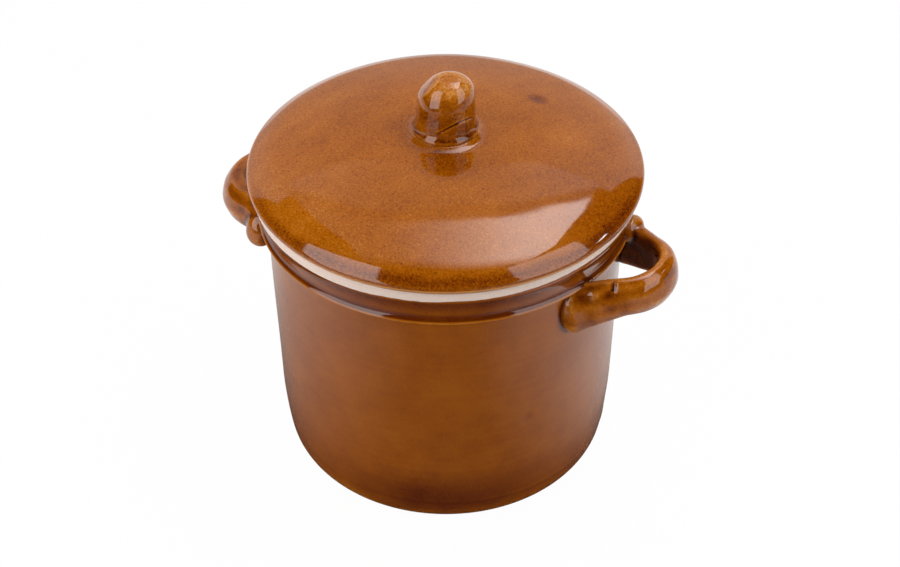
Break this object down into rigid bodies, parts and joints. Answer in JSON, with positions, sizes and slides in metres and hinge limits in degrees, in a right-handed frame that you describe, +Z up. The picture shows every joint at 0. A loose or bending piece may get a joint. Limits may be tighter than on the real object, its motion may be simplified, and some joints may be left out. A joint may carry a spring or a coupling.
{
  "type": "lidded bean pot",
  "caption": "Deep round glazed stoneware pot with lug handles at its sides and a domed lid that lifts off by its knob, for slow baking and serving.",
  "frame": {"origin": "centre of the flat base, on the surface the pot stands on", "axes": "+Z up, the pot's axis; +X between the two handles towards the right one, both handles swung seven degrees towards -Y"},
  "size_m": [0.2327, 0.19, 0.2136],
  "materials": {
    "brown_glaze": "glossy amber brown glaze",
    "bare_stoneware": "unglazed cream stoneware"
  },
  "bodies": {
    "pot": {"pot_body": "brown_glaze", "handle_right": "brown_glaze", "handle_left": "brown_glaze"},
    "lid": {"lid": "brown_glaze", "lid_flange": "bare_stoneware", "lid_knob": "brown_glaze"}
  },
  "joints": [
    {"name": "lid_lift", "type": "slide", "parent": "pot", "child": "lid", "axis": [0, 0, 1], "range_m": [0, 0.1]}
  ]
}
